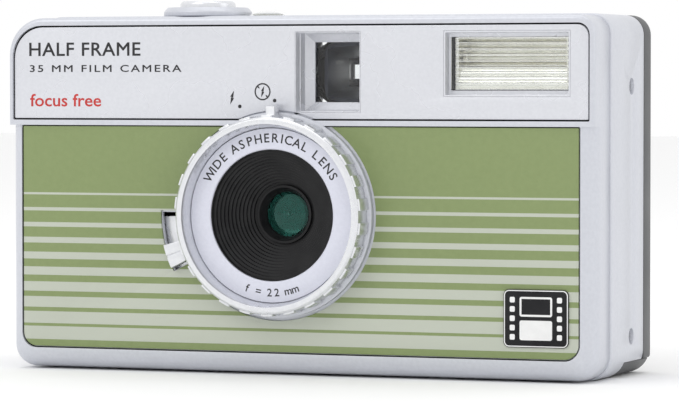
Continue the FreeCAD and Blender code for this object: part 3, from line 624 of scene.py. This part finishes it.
marks = [ink_disc(24, (-10.02, 46.84), 0.33), ink_disc(24, (-3.47, 47.87), 0.33)]
marks += bolt((-11.50, 48.38), 2.3)
marks += bolt((-5.74, 49.41), 1.9)
marks.append(ring_mesh((-5.74, 49.41), 1.38, 0.26))
for side in (-1, 1):
    marks.append(ink_disc(4, (-5.74 + 0.78 * side, 49.41 - 0.78 * side), 0.34, (1.0, 0.45), 45))
joined("print_flash_marks", marks, "print_black", "camera_body")
print("flash marks printed")

# %% [markdown]
# The badge is a black printed square with a pale line round it. Its picture is a strip of film with
# two half frame pictures, one above the other: a plain sign for what the camera does.

# %% Badge border and film strip sign
BADGE_LOW, BADGE_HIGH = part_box("badge")
badge_front = BADGE_LOW.y / MM
badge_low, badge_high = in_mm(BADGE_LOW), in_mm(BADGE_HIGH)


def on_badge(name, x0, z0, x1, z1, radius, border=None, finish_name="print_white"):
    """A printed plate on the badge; x and z are in mm from the badge's lower left corner."""
    low = (badge_low[0] + x0, badge_low[1] + z0)
    high = (badge_low[0] + x1, badge_low[1] + z1)
    return flat_plate(name, low, high, (radius,) * 4, badge_front - 0.02, 0.03, finish_name, "camera_body", border)


BADGE_W = badge_high[0] - badge_low[0]
BADGE_H = badge_high[1] - badge_low[1]
on_badge("badge_border", 0.12, 0.12, BADGE_W - 0.12, BADGE_H - 0.12, 0.9, 0.16)
on_badge("badge_picture_upper", 2.9, 5.25, BADGE_W - 2.9, 8.6, 0.35, 0.34)
on_badge("badge_picture_lower", 2.9, 1.25, BADGE_W - 2.9, 4.6, 0.35)
for column, x0 in (("left", 1.15), ("right", BADGE_W - 2.05)):
    for hole in range(5):
        low_z = 1.3 + 1.58 * hole
        on_badge("badge_perforation_%s_%d" % (column, hole), x0, low_z, x0 + 0.9, 2.25 + 1.58 * hole, 0.22)
print("badge printed")

# %% [markdown]
# Type on the name ring runs round a flat face. Each letter is its own mesh. It is stood on the face
# by a rotation whose columns are the directions along the ring, up the letter and out of the face.

# %% Lettering round the name ring
NAME_FACE_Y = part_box("name_ring")[0].y
FORWARD = Vector((0, -1, 0))
CAP_SHARE = 0.70
NARROW = 0.55


def ring_letters(words, radius, middle_deg, cap, advance, inward):
    """Letters centred on middle_deg; inward letters stand with their feet towards the axis."""
    pieces = []
    widths = [advance * (NARROW if letter in " .I" else 1.0) for letter in words]
    along = -sum(widths) / 2
    for letter, width in zip(words, widths):
        along += width / 2
        turn = math.degrees(along / radius)
        along += width / 2
        if letter == " ":
            continue
        angle = math.radians(middle_deg - turn if inward else middle_deg + turn)
        out = Vector((math.cos(angle), 0, math.sin(angle)))
        upward = out if inward else -out
        right = upward.cross(FORWARD)
        glyph = type_mesh(letter)
        xs = [vertex.co.x for vertex in glyph.data.vertices]
        size = cap * MM / CAP_SHARE
        glyph.data.transform(Matrix.Translation((-(max(xs) + min(xs)) / 2, -CAP_SHARE / 2, 0)))
        turn_matrix = Matrix((right, upward, FORWARD)).transposed()
        glyph.rotation_euler = turn_matrix.to_euler()
        glyph.scale = (size, size, INK * MM)
        glyph.location = Vector((LENS.x, NAME_FACE_Y, LENS.z)) + out * radius * MM
        pieces.append(settle(glyph))
    return pieces


ring_type = ring_letters("WIDE ASPHERICAL LENS", 13.45, 90.0, 1.55, 1.62, True)
ring_type += ring_letters("f = 22 mm", 13.35, 270.0, 1.35, 1.36, False)
joined("print_name_ring", ring_type, "print_black", "camera_body")
print("letters on the ring:", len(ring_type))

# %% [markdown]
# The camera stands on a plain pale table in soft light. The table and the lights aren't part of the
# object. The lens is long, as for a catalogue picture, so upright lines stay almost parallel.

# %% Table, lights and the viewing camera
bpy.ops.object.select_all(action="DESELECT")
bpy.ops.mesh.primitive_plane_add(size=6.0, location=(0, 0, 0))
table = settle(bpy.context.active_object)
table.name = "table"
table_finish, table_tree, table_shader = new_finish("table_white", (0.93, 0.93, 0.93), 0.0, 0.85)
add_grain(table_tree, table_shader, 0.002, 0.00002)
table.data.materials.append(table_finish)

world = bpy.data.worlds.new("studio")
world.use_nodes = True
world.node_tree.nodes["Background"].inputs["Color"].default_value = (1.0, 1.0, 1.0, 1)
world.node_tree.nodes["Background"].inputs["Strength"].default_value = 1.0
bpy.context.scene.world = world


def soft_box(name, place, aim, width, height, power):
    """Large area light at place, facing aim."""
    lamp = bpy.data.lights.new(name, "AREA")
    lamp.shape = "RECTANGLE"
    lamp.size = width
    lamp.size_y = height
    lamp.energy = power
    holder = bpy.data.objects.new(name, lamp)
    bpy.context.scene.collection.objects.link(holder)
    holder.location = place
    holder.rotation_euler = (Vector(aim) - Vector(place)).to_track_quat("-Z", "Y").to_euler()
    return holder


BODY_MIDDLE = (0.0, 0.0, 0.03)
soft_box("key_light", (-0.45, -0.75, 0.75), BODY_MIDDLE, 0.7, 0.5, 1.6)
soft_box("side_light", (0.9, 0.1, 0.35), BODY_MIDDLE, 0.5, 0.6, 0.5)
soft_box("top_light", (0.0, 0.05, 0.9), BODY_MIDDLE, 0.8, 0.5, 1.0)

VIEW_AZIMUTH = 21.30
VIEW_ELEVATION = 1.85
VIEW_PLACE = (0.24670, -0.62497, 0.05053)
viewer = bpy.data.cameras.new("viewer")
viewer.lens = 201.5
viewer.sensor_width = 36.0
viewer_holder = bpy.data.objects.new("viewer", viewer)
bpy.context.scene.collection.objects.link(viewer_holder)
viewer_holder.location = VIEW_PLACE
viewer_holder.rotation_euler = (math.radians(90 - VIEW_ELEVATION), 0, math.radians(VIEW_AZIMUTH))
bpy.context.scene.camera = viewer_holder
bpy.context.scene.view_settings.view_transform = "Standard"
print("camera at", VIEW_PLACE)
